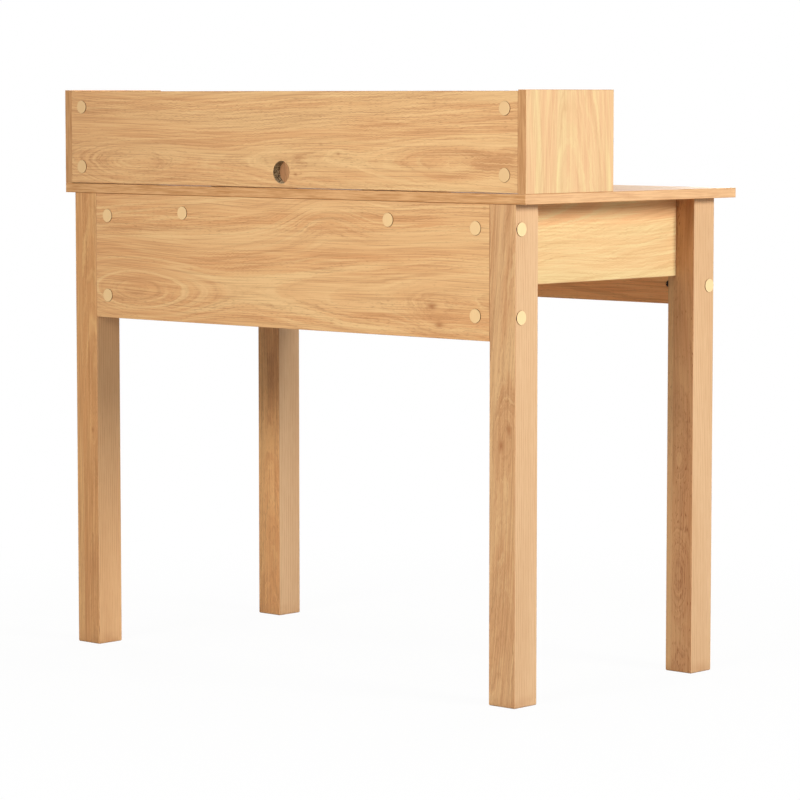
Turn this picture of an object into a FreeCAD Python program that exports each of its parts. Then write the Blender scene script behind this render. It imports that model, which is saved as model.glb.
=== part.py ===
import FreeCAD, Part
import math
import os

V = FreeCAD.Vector
X, Y, Z = V(1, 0, 0), V(0, 1, 0), V(0, 0, 1)

# Writing desk with a low hutch, made of foil-covered chipboard, in millimetres.
# The origin is on the floor under the middle of the desktop. The sitter faces +Y and +X is to the right.

# Desktop and boards
desk_width = 980.0
desk_depth = 500.0
desk_height = 750.0
board = 15.0
arris = 0.4

# Legs
leg_size = 50.0
leg_side_inset = 20.0
leg_rear_inset = 2.0
leg_front_inset = 28.0
leg_round = 1.2
foot_chamfer = 1.5

# Frame under the desktop
rear_panel_height = 200.0
apron_height = 120.0
drawer_opening = 104.0
front_rail_height = 62.0

# Hutch
hutch_height = 150.0
hutch_depth = 200.0
hutch_back_drop = 1.8
hutch_back_gap = 1.0
shelf_drop = 30.0
hutch_bays = 3
cable_hole_radius = 17.5
cable_hole_height = 24.5

# Leg bolts and their barrel nuts
bolt_radius = 3.0
bolt_hole_radius = 3.5
bolt_head_radius = 5.0
bolt_head_height = 6.0
bolt_socket_flats = 5.0
bolt_socket_depth = 3.0
bolt_end = 3.0
counterbore_radius = 6.8
counterbore_depth = 12.0
nut_radius = 5.0
nut_length = 11.0
nut_recess = 1.5
nut_inset = 27.0
nut_slot = 1.2
rear_bolt_drops = (36.0, 164.0)

# Stick-on cover caps
cap_radius = 10.5
cap_thickness = 1.2
cap_edge = 0.3
leg_cap_inset = 12.0

# Cam locks and cam bolts
cam_radius = 7.5
cam_skin = 2.5
cam_slot_width = 1.6
cam_slot_depth = 2.0
cam_bolt_radius = 3.0
cam_bolt_thread = 11.0
cam_bore_radius = 4.0
cam_head_radius = 3.5
cam_head_length = 3.0
back_cam_reach = 25.0
end_cam_reach = 24.0
top_cam_reach = 28.0
back_cam_drops = (27.0, 123.0)
shelf_cam_inset = 40.0
apron_cam_drops = (28.0, 67.0)
top_cam_spread = 440.0
apron_cam_inset = 80.0

# Dowels
dowel_radius = 4.0
dowel_length = 24.0
dowel_sunk = 9.0
dowel_inset = 40.0
dowel_rise = 16.0
drawer_dowel_radius = 3.0
drawer_dowel_inset = 16.0

# Screws up through the desktop into the hutch
hutch_screw_radius = 2.5
hutch_screw_length = 45.0
hutch_screw_head = 4.5
hutch_screw_inset = 32.0

# Roller slides: steel rails with nylon rollers, one pair to a drawer
steel = 1.2
slide_space = 12.7
slide_rise = 5.0
rail_setback = 2.0
rail_rear_gap = 38.0
rail_overlap = 100.0
channel_reach = 10.0
drawer_flange_reach = 10.5
roller_radius = 8.0
roller_width = 6.0
roller_gap = 0.3
roller_rim = 1.5
roller_hub = 3.8
roller_dish = 1.0
roller_inset = 10.0
axle_radius = 2.0
axle_head_radius = 3.5
axle_head = 1.0
axle_collar_radius = 4.0
ceiling_play = 0.8
lift_window = 35.0
stop_height = 5.0
stop_gap = 0.5
rail_screw_inset = 40.0
leg_screw_inset = 24.0
screw_stagger = 16.0
screw_radius = 1.75
screw_length = 12.0
screw_head_radius = 3.4
screw_head_height = 1.6

# Drawers
drawer_gap = 2.0
drawer_side = 12.0
drawer_headroom = 16.6
bottom_thickness = 3.0
groove_depth = 4.0
groove_rise = 10.0
box_screw_inset = 15.0

# Turned knobs
knob_length = 25.0
knob_foot_radius = 9.5
knob_foot = 2.5
knob_neck_radius = 6.5
knob_neck = 9.0
knob_head_radius = 16.0
knob_head = 17.5
knob_screw_radius = 2.0
knob_screw_length = 27.0
knob_screw_head_radius = 4.0
knob_screw_head_height = 2.4

# Clearances
hole_play = 0.1
running_play = 0.05
end_play = 0.5
overrun = 1.0

# Places worked out from the sizes above
half_width = desk_width / 2
rear = desk_depth / 2
front = -desk_depth / 2
underside = desk_height - board
leg_outer = half_width - leg_side_inset
leg_inner = leg_outer - leg_size
leg_rear = rear - leg_rear_inset
leg_front = front + leg_front_inset
panel_front = leg_rear - board
rail_top = underside - drawer_opening
rail_back = leg_front + board
hutch_top = desk_height + hutch_height
hutch_inner = half_width - board
hutch_front = rear - hutch_depth
hutch_back_front = rear - board
shelf_top = hutch_top - shelf_drop
shelf_bottom = shelf_top - board
bay_width = (2 * hutch_inner - (hutch_bays - 1) * board) / hutch_bays
cam_depth = board - cam_skin

# Levels of the roller slides
slide_bottom = rail_top + slide_rise
channel_floor = slide_bottom + steel
axle_level = channel_floor + roller_gap + roller_radius
flange_level = axle_level + roller_radius + roller_gap
channel_ceiling = flange_level + steel + ceiling_play
box_bottom = channel_floor + steel
box_top = underside - drawer_headroom
rail_front = rail_back + rail_setback
rail_length = panel_front - rail_front - rail_rear_gap
drawer_travel = rail_length - rail_overlap
box_rear = rail_back + rail_length
front_axle = rail_front + roller_inset
rear_axle = box_rear - roller_inset

pieces = {}
tools = {}


def block(x0, x1, y0, y1, z0, z1):
    """A box between two corners."""
    return Part.makeBox(x1 - x0, y1 - y0, z1 - z0, V(x0, y0, z0))


def eased(shape, width):
    """The same piece with every edge chamfered."""
    return shape.makeChamfer(width, shape.Edges)


def rod(radius, start, direction, length):
    """A round bar from a point along a direction."""
    return Part.makeCylinder(radius, length, start, direction)


def add(name, *shapes):
    """Adds solids to a node."""
    pieces.setdefault(name, []).extend(shapes)


def bore(name, *shapes):
    """Notes shapes to be cut from a node."""
    tools.setdefault(name, []).extend(shapes)


def drill(name, radius, mouth, direction, depth):
    """Notes a round hole to be cut from a node, starting an overrun outside its mouth."""
    bore(name, rod(radius, mouth - direction * overrun, direction, depth + overrun))


def span(a, b):
    """Two numbers in rising order."""
    return min(a, b), max(a, b)


def hand(side):
    """The name of a side of the desk."""
    return "left" if side < 0 else "right"


def desktop():
    """The flat top, flush with the hutch at the rear and at both ends."""
    add("desktop", eased(block(-half_width, half_width, front, rear, underside, desk_height), arris))


def leg(side, y0, name):
    """A square post with rounded corners and a chamfered foot."""
    x0, x1 = span(side * leg_inner, side * leg_outer)
    post = block(x0, x1, y0, y0 + leg_size, 0, underside)
    post = post.makeChamfer(foot_chamfer, [e for e in post.Edges if e.BoundBox.ZMax < foot_chamfer])
    upright = [e for e in post.Edges if e.BoundBox.ZLength > leg_size]
    add(name, post.makeFillet(leg_round, upright))


def frame_boards():
    """The boards between the legs."""
    panel = block(-leg_inner, leg_inner, panel_front, leg_rear, underside - rear_panel_height, underside)
    add("rear_panel", eased(panel, arris))
    rail = block(-leg_inner, leg_inner, leg_front, rail_back, rail_top - front_rail_height, rail_top)
    add("front_rail", eased(rail, arris))
    for side in (-1, 1):
        x0, x1 = span(side * leg_inner, side * (leg_inner + board))
        y0, y1 = leg_front + leg_size, leg_rear - leg_size
        apron = block(x0, x1, y0, y1, underside - apron_height, underside)
        add("side_apron_" + hand(side), eased(apron, arris))
    divider = block(-board / 2, board / 2, leg_front, panel_front, rail_top, underside)
    add("drawer_divider", eased(divider, arris))


def hutch():
    """The low open case along the rear edge of the desktop."""
    for side in (-1, 1):
        x0, x1 = span(side * hutch_inner, side * half_width)
        end = block(x0, x1, hutch_front, rear, desk_height, hutch_top)
        add("hutch_side_" + hand(side), eased(end, arris))
        x = side * (bay_width + board) / 2
        x0, x1 = x - board / 2, x + board / 2
        wall = block(x0, x1, hutch_front, hutch_back_front, desk_height, shelf_bottom)
        add("hutch_divider_" + hand(side), eased(wall, arris))
    back = block(-hutch_inner, hutch_inner, hutch_back_front, rear, desk_height + hutch_back_gap,
                 hutch_top - hutch_back_drop)
    add("hutch_back", eased(back, arris))
    shelf = block(-hutch_inner, hutch_inner, hutch_front, hutch_back_front, shelf_bottom, shelf_top)
    add("hutch_shelf", eased(shelf, arris))
    hole = V(0, hutch_back_front - overrun, desk_height + cable_hole_height)
    bore("hutch_back", rod(cable_hole_radius, hole, Y, board + 2 * overrun))


def cap(centre, out):
    """A thin stuck-on disc over a bolt or nut hole."""
    disc = rod(cap_radius, centre, out, cap_thickness)
    rim = [e for e in disc.Edges if e.isClosed() and (e.CenterOfMass - centre).dot(out) > cap_edge]
    add("cover_caps", disc.makeChamfer(cap_edge, rim))


def hex_socket(bottom, out):
    """The hexagonal recess in a bolt's head."""
    radius = bolt_socket_flats / math.sqrt(3)
    turns = [math.tau * i / 6 for i in range(7)]
    corners = [bottom + Y * (radius * math.cos(t)) + Z * (radius * math.sin(t)) for t in turns]
    return Part.Face(Part.makePolygon(corners)).extrude(out * (bolt_socket_depth + overrun))


def leg_bolt(side, leg_name, board_name, y, z, nut_face, cap_y):
    """A bolt through a leg into a barrel nut, which is let into a board from its rear face."""
    out, inward = X * side, X * -side
    outside = V(side * leg_outer, y, z)
    leg_face = V(side * leg_inner, y, z)
    head_seat = outside + inward * counterbore_depth
    past_leg = nut_inset + nut_radius + bolt_end
    bolt = rod(bolt_radius, head_seat, inward, leg_size - counterbore_depth + past_leg)
    bolt = bolt.fuse(rod(bolt_head_radius, head_seat, out, bolt_head_height))
    socket_bottom = head_seat + out * (bolt_head_height - bolt_socket_depth)
    add("leg_bolts", bolt.cut(hex_socket(socket_bottom, out)))
    drill(leg_name, counterbore_radius, outside, inward, counterbore_depth)
    drill(leg_name, bolt_hole_radius, outside, inward, leg_size + overrun)
    drill(board_name, bolt_hole_radius, leg_face, inward, past_leg + end_play)

    nut_x = side * (leg_inner - nut_inset)
    mouth = V(nut_x, nut_face, z)
    nut_end = nut_face - nut_recess
    nut = rod(nut_radius, V(nut_x, nut_end, z), Y * -1, nut_length)
    thread = rod(bolt_radius + running_play, V(nut_x, y, z) - X * (2 * nut_radius), X, 4 * nut_radius)
    slot = block(nut_x - nut_radius, nut_x + nut_radius, nut_end - nut_slot, nut_end + overrun,
                 z - nut_slot / 2, z + nut_slot / 2)
    add("barrel_nuts", nut.cut([thread, slot]))
    drill(board_name, nut_radius + hole_play, mouth, Y * -1, nut_recess + nut_length + hole_play)
    cap(V(side * leg_outer, cap_y, z), out)


def leg_bolts():
    """Two bolts in each rear leg and one in each front leg."""
    rail_middle = rail_top - front_rail_height / 2
    for side in (-1, 1):
        for drop in rear_bolt_drops:
            z = underside - drop
            leg_bolt(side, "leg_rear_" + hand(side), "rear_panel", leg_rear - board / 2, z, leg_rear,
                     leg_rear - leg_cap_inset)
            cap(V(side * (leg_inner - nut_inset), leg_rear, z), Y)
        leg_bolt(side, "leg_front_" + hand(side), "front_rail", leg_front + board / 2, rail_middle,
                 rail_back, leg_front + leg_cap_inset)


def cam_joint(held, holder, at, along, out, reach):
    """A cam lock let into one face of the held board, pulling on a bolt screwed into the holder.

    at is where the bolt crosses from the holder into the held board's edge, along points into the
    held board, and out is the outward normal of the face that takes the cam."""
    face = at + along * reach + out * (board / 2)
    lock = rod(cam_radius, face - out * hole_play, out * -1, cam_depth - 2 * hole_play)
    passage = rod(cam_bore_radius, at, along, reach + cam_head_length)
    slot = Part.makeBox(2 * cam_radius, cam_slot_width, cam_slot_depth + overrun,
                        V(-cam_radius, -cam_slot_width / 2, -cam_slot_depth))
    slot.Placement = FreeCAD.Placement(face, FreeCAD.Rotation(Z, out))
    add("cam_locks", lock.cut([passage, slot]))
    shank = reach - cam_head_length / 2
    bolt = rod(cam_bolt_radius, at - along * cam_bolt_thread, along, cam_bolt_thread + shank)
    head = rod(cam_head_radius, at + along * shank, along, cam_head_length)
    add("cam_bolts", bolt.fuse(head))
    drill(held, cam_radius + hole_play, face, out * -1, cam_depth)
    drill(held, cam_bore_radius, at, along, reach)
    drill(holder, cam_bolt_radius + hole_play, at, along * -1, cam_bolt_thread + end_play)


def apron_ends(side):
    """The place, the direction into the apron and the leg of each end of a side apron."""
    x = side * (leg_inner + board / 2)
    return ((V(x, leg_front + leg_size, underside), Y, "leg_front_" + hand(side)),
            (V(x, leg_rear - leg_size, underside), Y * -1, "leg_rear_" + hand(side)))


def cams():
    """Every cam joint of the desk."""
    down = Z * -1
    for side in (-1, 1):
        inward = X * -side
        end = "hutch_side_" + hand(side)
        for drop in back_cam_drops:
            at = V(side * hutch_inner, rear - board / 2, hutch_top - drop)
            cam_joint("hutch_back", end, at, inward, Y, back_cam_reach)
            cap(at + inward * back_cam_reach + Y * (board / 2), Y)
        for y in (hutch_front + shelf_cam_inset, hutch_back_front - shelf_cam_inset):
            at = V(side * hutch_inner, y, shelf_bottom + board / 2)
            cam_joint("hutch_shelf", end, at, inward, down, end_cam_reach)
        at = V(side * top_cam_spread / 2, leg_rear - board / 2, underside)
        cam_joint("rear_panel", "desktop", at, down, Y, top_cam_reach)
        cap(at + down * top_cam_reach + Y * (board / 2), Y)
        apron = "side_apron_" + hand(side)
        for corner, along, post in apron_ends(side):
            for drop in apron_cam_drops:
                cam_joint(apron, post, corner + down * drop, along, inward, end_cam_reach)
            cam_joint(apron, "desktop", corner + along * apron_cam_inset, down, inward, top_cam_reach)
    for y in (leg_front + apron_cam_inset, panel_front - apron_cam_inset):
        cam_joint("drawer_divider", "desktop", V(0, y, underside), down, X, top_cam_reach)


def dowel(node, face_piece, edge_piece, at, into_edge, radius):
    """A dowel across a butt joint, sunk in a board's face and in the other board's edge."""
    add(node, rod(radius, at - into_edge * dowel_sunk, into_edge, dowel_length))
    drill(face_piece, radius + hole_play, at, into_edge * -1, dowel_sunk + end_play)
    drill(edge_piece, radius + hole_play, at, into_edge, dowel_length - dowel_sunk + end_play)


def dowels():
    """Every dowel of the fixed frame."""
    down = Z * -1
    half_leg = leg_size / 2
    for side in (-1, 1):
        for y, post in ((leg_front + half_leg, "leg_front_"), (leg_rear - half_leg, "leg_rear_")):
            at = V(side * (leg_inner + half_leg), y, underside)
            dowel("wood_dowels", "desktop", post + hand(side), at, down, dowel_radius)
        for corner, along, post in apron_ends(side):
            at = corner + down * (apron_height - dowel_rise)
            dowel("wood_dowels", post, "side_apron_" + hand(side), at, along, dowel_radius)
        wall = "hutch_divider_" + hand(side)
        for y in (hutch_front + dowel_inset, hutch_back_front - dowel_inset):
            at = V(side * (bay_width + board) / 2, y, shelf_bottom)
            dowel("wood_dowels", "hutch_shelf", wall, at, down, dowel_radius)
    at = V(0, leg_front + board / 2, rail_top)
    dowel("wood_dowels", "front_rail", "drawer_divider", at, Z, dowel_radius)
    for z in (rail_top + dowel_inset, underside - dowel_inset):
        dowel("wood_dowels", "rear_panel", "drawer_divider", V(0, panel_front, z), Y * -1, dowel_radius)


def countersunk_screw(node, through, into, seat, direction, thickness, radius, head_radius, length):
    """A screw through one piece into another, with its head flush in the first piece's face."""
    hole = radius + hole_play
    flare = head_radius - radius
    cone = Part.makeCone(head_radius, radius, flare, seat, direction)
    add(node, rod(radius, seat, direction, length).fuse(cone))
    sink = Part.makeCone(head_radius + hole_play, hole, flare, seat, direction)
    bore(through, sink)
    bore(into, sink)
    drill(through, hole, seat, direction, thickness + overrun)
    drill(into, hole, seat, direction, length + end_play)


def hutch_screws():
    """Screws up through the desktop into the hutch's sides and dividers."""
    for side in (-1, 1):
        walls = ((half_width - board / 2, "hutch_side_", rear),
                 ((bay_width + board) / 2, "hutch_divider_", hutch_back_front))
        for x, wall, far in walls:
            for y in (hutch_front + hutch_screw_inset, far - hutch_screw_inset):
                seat = V(side * x, y, underside)
                countersunk_screw("hutch_screws", "desktop", wall + hand(side), seat, Z, board,
                                  hutch_screw_radius, hutch_screw_head, hutch_screw_length)


def profile(points, face, inward, y0, y1):
    """A bent steel section, drawn as distances from a side wall and heights, run along Y."""
    corners = [V(face + inward * s, y0, z) for s, z in points]
    return Part.Face(Part.makePolygon(corners + corners[:1])).extrude(Y * (y1 - y0))


def roller(centre):
    """A dished nylon wheel on an axle along X."""
    half = roller_width / 2
    hole = axle_radius + running_play
    rim = roller_radius - roller_rim
    soft = roller_dish / 2
    outline = [
        (hole, -half), (roller_hub, -half), (roller_hub, roller_dish - half), (rim, roller_dish - half),
        (rim, -half), (roller_radius - soft, -half), (roller_radius, soft - half),
        (roller_radius, half - soft), (roller_radius - soft, half), (rim, half),
        (rim, half - roller_dish), (roller_hub, half - roller_dish), (roller_hub, half), (hole, half),
    ]
    corners = [centre + X * along + Z * radius for radius, along in outline]
    return Part.Face(Part.makePolygon(corners + corners[:1])).revolve(centre, X, 360)


def pan_screw(node, rail_name, board_name, seat, direction):
    """A small screw through a steel rail into a board, with its head standing on the steel."""
    hole = screw_radius + hole_play
    shank = rod(screw_radius, seat, direction, screw_length)
    add(node, shank.fuse(rod(screw_head_radius, seat, direction * -1, screw_head_height)))
    drill(rail_name, hole, seat, direction, steel + overrun)
    drill(board_name, hole, seat, direction, screw_length + end_play)


def cabinet_rail(tag, face, inward):
    """A slide's channel on the wall, with a window to lift the drawer out, a stop and a roller.

    face is the x of the wall and inward the direction from it to the drawer. Distances in the
    sections are measured from the wall."""
    top = channel_ceiling + steel
    channel = profile([
        (0, slide_bottom), (channel_reach, slide_bottom), (channel_reach, channel_floor),
        (steel, channel_floor), (steel, channel_ceiling), (channel_reach, channel_ceiling),
        (channel_reach, top), (0, top)], face, inward, rail_front, rail_front + rail_length)
    near, far = span(face + inward * steel, face + inward * (channel_reach + overrun))
    window = block(near, far, rail_front - overrun, rail_front + lift_window,
                   channel_ceiling - overrun, top + overrun)
    stop_rear = rear_axle - drawer_travel - roller_radius - stop_gap
    stop_top = channel_floor + stop_height
    stop = profile([
        (steel, channel_floor), (channel_reach, channel_floor), (channel_reach - steel, stop_top),
        (2 * steel, stop_top)], face, inward, stop_rear - steel, stop_rear)
    across = X * inward
    axle = V(face, front_axle, axle_level)
    wheel_near = steel + roller_gap
    head_near = wheel_near + roller_width + roller_gap
    pin = rod(axle_radius, axle + across * (steel / 2), across, head_near + axle_head - steel / 2)
    head = rod(axle_head_radius, axle + across * head_near, across, axle_head)
    add("cabinet_rail_" + tag, channel.cut(window).fuse([stop, pin, head]).removeSplitter())
    add("front_roller_" + tag, roller(axle + across * (wheel_near + roller_width / 2)))


def drawer_rail(tag, face, inward):
    """A slide's rail on the drawer: a sole under the box, a web, a running flange and a roller."""
    web = slide_space - steel
    tip = slide_space - drawer_flange_reach
    sole_tip = slide_space + drawer_side
    flange_top = flange_level + steel
    rail = profile([
        (web, channel_floor), (sole_tip, channel_floor), (sole_tip, box_bottom), (slide_space, box_bottom),
        (slide_space, flange_top), (tip, flange_top), (tip, flange_level), (web, flange_level)],
        face, inward, rail_back, box_rear)
    near, far = span(face + inward * (tip - overrun), face + inward * web)
    notch = block(near, far, rear_axle - roller_inset, box_rear + overrun,
                  flange_level - overrun, flange_top + overrun)
    across = X * inward
    axle = V(face, rear_axle, axle_level)
    head_near = steel + 2 * roller_gap
    wheel_near = head_near + axle_head + roller_gap
    collar_near = wheel_near + roller_width + roller_gap
    fixed = web + steel / 2
    pin = rod(axle_radius, axle + across * head_near, across, fixed - head_near)
    head = rod(axle_head_radius, axle + across * head_near, across, axle_head)
    collar = rod(axle_collar_radius, axle + across * collar_near, across, fixed - collar_near)
    add("drawer_rail_" + tag, rail.cut(notch).fuse([pin, head, collar]).removeSplitter())
    add("rear_roller_" + tag, roller(axle + across * (wheel_near + roller_width / 2)))


def slide(side, place, face, inward, boards):
    """One roller slide with its screws into the wall and up into the drawer's side."""
    tag = hand(side) + "_" + place
    cabinet_rail(tag, face, inward)
    drawer_rail(tag, face, inward)
    for y, board_name in boards:
        seat = V(face + inward * steel, y, axle_level)
        countersunk_screw("slide_screws", "cabinet_rail_" + tag, board_name, seat, X * -inward, steel,
                          screw_radius, screw_head_radius, screw_length)
    box = "drawer_" + hand(side)
    for y in (rail_back + rail_screw_inset, box_rear - rail_screw_inset):
        seat = V(face + inward * (slide_space + drawer_side / 2), y, channel_floor)
        pan_screw(box + "_screws", "drawer_rail_" + tag, box + "_side_" + place, seat, Z)


def knob(name, at):
    """A turned knob standing out towards the sitter."""
    def point(radius, out):
        return at + Z * radius - Y * out
    rise = knob_length - knob_head
    ball = (knob_head_radius ** 2 + rise ** 2) / (2 * rise)
    half_turn = math.asin(knob_head_radius / ball) / 2
    crown = point(ball * math.sin(half_turn), knob_length - ball + ball * math.cos(half_turn))
    edges = [
        Part.LineSegment(point(0, 0), point(knob_foot_radius, 0)),
        Part.LineSegment(point(knob_foot_radius, 0), point(knob_foot_radius, knob_foot)),
        Part.Arc(point(knob_foot_radius, knob_foot), point(knob_neck_radius, knob_neck),
                 point(knob_head_radius, knob_head)),
        Part.Arc(point(knob_head_radius, knob_head), crown, point(0, knob_length)),
        Part.LineSegment(point(0, knob_length), point(0, 0)),
    ]
    wire = Part.Wire([e.toShape() for e in edges])
    add(name, Part.Face(wire).revolve(at, Y, 360))


def knob_screw(which, middle):
    """A screw from inside the drawer front into the knob, with its head sunk in the front."""
    hole = knob_screw_radius + hole_play
    in_front = board - knob_screw_head_height
    seat = middle + Y * in_front
    shank = rod(knob_screw_radius, seat, Y * -1, knob_screw_length)
    head = rod(knob_screw_head_radius, seat, Y, knob_screw_head_height - hole_play)
    add(which + "_screws", shank.fuse(head))
    drill(which + "_front", hole, middle, Y, board)
    drill(which + "_front", knob_screw_head_radius + hole_play, middle + Y * board, Y * -1,
          knob_screw_head_height)
    drill(which + "_knob", hole, middle, Y * -1, knob_screw_length - in_front + end_play)


def drawer(side):
    """An inset drawer with its box, bottom, knob and slides."""
    which = "drawer_" + hand(side)
    walls = {"outer": side * leg_inner, "inner": side * board / 2}
    inward = {"outer": -side, "inner": side}
    x0, x1 = span(*walls.values())
    face_board = block(x0 + drawer_gap, x1 - drawer_gap, leg_front, rail_back, rail_top + drawer_gap,
                       underside - drawer_gap)
    add(which + "_front", eased(face_board, arris))
    wall_space = slide_space + drawer_side
    inner_x0, inner_x1 = x0 + wall_space, x1 - wall_space
    groove_bottom = box_bottom + groove_rise
    groove_top = groove_bottom + bottom_thickness + 2 * hole_play
    groove = block(inner_x0 - groove_depth, inner_x1 + groove_depth, rail_back - groove_depth,
                   box_rear + overrun, groove_bottom, groove_top)
    bore(which + "_front", groove)
    for place, face in walls.items():
        across = X * inward[place]
        s0, s1 = span(face + inward[place] * slide_space, face + inward[place] * wall_space)
        name = "%s_side_%s" % (which, place)
        add(name, eased(block(s0, s1, rail_back, box_rear, box_bottom, box_top), arris))
        bore(name, groove)
        for z in (box_bottom + 2 * drawer_dowel_inset, box_top - drawer_dowel_inset):
            at = V((s0 + s1) / 2, rail_back, z)
            dowel(which + "_dowels", which + "_front", name, at, Y, drawer_dowel_radius)
        for z in (groove_top + box_screw_inset, box_top - box_screw_inset):
            seat = V(face, box_rear - drawer_side / 2, z) + across * slide_space
            countersunk_screw(which + "_screws", name, which + "_back", seat, across, drawer_side,
                              screw_radius, screw_head_radius, drawer_side + screw_length)
    back = block(inner_x0, inner_x1, box_rear - drawer_side, box_rear, groove_top, box_top)
    add(which + "_back", eased(back, arris))
    slack = groove_depth - end_play
    add(which + "_bottom", block(inner_x0 - slack, inner_x1 + slack, rail_back - slack, box_rear,
                                 groove_bottom + hole_play, groove_top - hole_play))
    middle = V((x0 + x1) / 2, leg_front, (rail_top + underside) / 2)
    knob(which + "_knob", middle)
    knob_screw(which, middle)
    outer_boards = ((rail_front + leg_screw_inset, "leg_front_" + hand(side)),
                    (rail_front + rail_length / 2, "side_apron_" + hand(side)),
                    (rail_front + rail_length - rail_screw_inset, "side_apron_" + hand(side)))
    stagger = screw_stagger if side > 0 else 0
    inner_boards = tuple((y + stagger, "drawer_divider") for y, _ in outer_boards)
    slide(side, "outer", walls["outer"], inward["outer"], outer_boards)
    slide(side, "inner", walls["inner"], inward["inner"], inner_boards)


def finish_piece(name):
    """The node's solids with their holes cut."""
    solids = []
    for shape in pieces[name]:
        if name in tools:
            shape = shape.cut(tools[name])
        solids.extend(shape.Solids)
    return solids


def build():
    """Makes every piece and writes one file to a node."""
    desktop()
    for side in (-1, 1):
        leg(side, leg_rear - leg_size, "leg_rear_" + hand(side))
        leg(side, leg_front, "leg_front_" + hand(side))
    frame_boards()
    hutch()
    leg_bolts()
    cams()
    dowels()
    hutch_screws()
    for side in (-1, 1):
        drawer(side)
    os.makedirs("parts", exist_ok=True)
    for name in pieces:
        solids = finish_piece(name)
        shape = solids[0] if len(solids) == 1 else Part.makeCompound(solids)
        shape.exportStep("parts/%s.step" % name)
        print("%-28s %2d solids, %11.1f mm3" % (name, len(solids), shape.Volume), shape.isValid())


build()
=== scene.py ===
"""Writing desk with a low hutch, two drawers and square legs, in oak-print foil on chipboard.

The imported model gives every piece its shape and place, in metres. This script gives each of them its finish,
and adds the floor, the lights and the camera.
"""

import math

import bpy
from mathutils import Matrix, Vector


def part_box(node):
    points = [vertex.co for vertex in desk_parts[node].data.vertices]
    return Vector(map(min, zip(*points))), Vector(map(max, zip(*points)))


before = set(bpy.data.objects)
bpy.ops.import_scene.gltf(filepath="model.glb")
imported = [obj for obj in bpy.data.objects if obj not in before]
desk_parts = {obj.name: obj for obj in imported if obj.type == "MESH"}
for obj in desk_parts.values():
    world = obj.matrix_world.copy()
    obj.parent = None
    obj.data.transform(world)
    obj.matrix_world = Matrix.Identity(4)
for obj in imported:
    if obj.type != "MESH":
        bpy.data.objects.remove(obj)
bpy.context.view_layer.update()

MM = 0.001
AXES = {"X": 0, "Y": 1, "Z": 2}


# Colours, written as screen values

def screen_colour(red, green, blue):
    """A colour given as screen values from 0 to 255, as the linear values that a shader takes."""
    linear = []
    for value in (red / 255, green / 255, blue / 255):
        linear.append(value / 12.92 if value <= 0.04045 else ((value + 0.055) / 1.055) ** 2.4)
    return (*linear, 1.0)


OAK_PALE = screen_colour(226, 188, 133)
OAK_MID = screen_colour(216, 169, 116)
OAK_WARM = screen_colour(210, 156, 103)
OAK_DARK = screen_colour(169, 116, 70)
OAK_PORE = screen_colour(147, 96, 54)
OAK_KNOT = screen_colour(152, 92, 46)
BAND_LIGHT = screen_colour(213, 165, 115)
BAND_DARK = screen_colour(181, 130, 82)
# Paler, yellower strips for the ends of boards than for their long edges: painted sheen
PAINTED_SHEEN_END_BAND_LIGHT = screen_colour(214, 173, 129)
PAINTED_SHEEN_END_BAND_DARK = screen_colour(196, 152, 110)
# Darker strips for the long edges of the hutch sides: painted shade
PAINTED_SHADE_HUTCH_BAND_LIGHT = screen_colour(198, 150, 100)
PAINTED_SHADE_HUTCH_BAND_DARK = screen_colour(170, 119, 71)
COMB_GROUND = screen_colour(208, 171, 130)
COMB_LINE = screen_colour(190, 148, 105)
CHIP_PALE = screen_colour(206, 182, 140)
CHIP_MID = screen_colour(150, 122, 82)
CHIP_DARK = screen_colour(74, 54, 34)
CAP_CREAM = screen_colour(228, 198, 148)
# Darker caps for the rear panel and the hutch back: painted shade
CAP_REAR_PAINTED_SHADE = screen_colour(226, 190, 138)
CAP_HUTCH_PAINTED_SHADE = screen_colour(217, 180, 130)
# The caps' cut edge: partly its own dark colour, partly painted shadow of the raised cap
CAP_EDGE_AND_PAINTED_SHADOW = screen_colour(112, 74, 40)
BEECH = screen_colour(226, 190, 146)
BEECH_FLECK = screen_colour(196, 150, 106)
HARDBOARD = screen_colour(150, 112, 76)
HARDBOARD_FIBRE = screen_colour(112, 80, 52)
ZINC_BRIGHT = screen_colour(206, 208, 210)
ZINC_DULL = screen_colour(166, 170, 174)
STEEL_BLACK = screen_colour(58, 54, 50)
STEEL_WORN = screen_colour(84, 79, 74)
CAST_GREY = screen_colour(150, 152, 155)
CAST_DARK = screen_colour(112, 114, 118)
ENAMEL_WHITE = screen_colour(236, 236, 232)
ENAMEL_RUB = screen_colour(196, 197, 196)
NYLON_WHITE = screen_colour(238, 238, 230)
NYLON_SHADE = screen_colour(214, 213, 203)


# Building shaders

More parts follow.
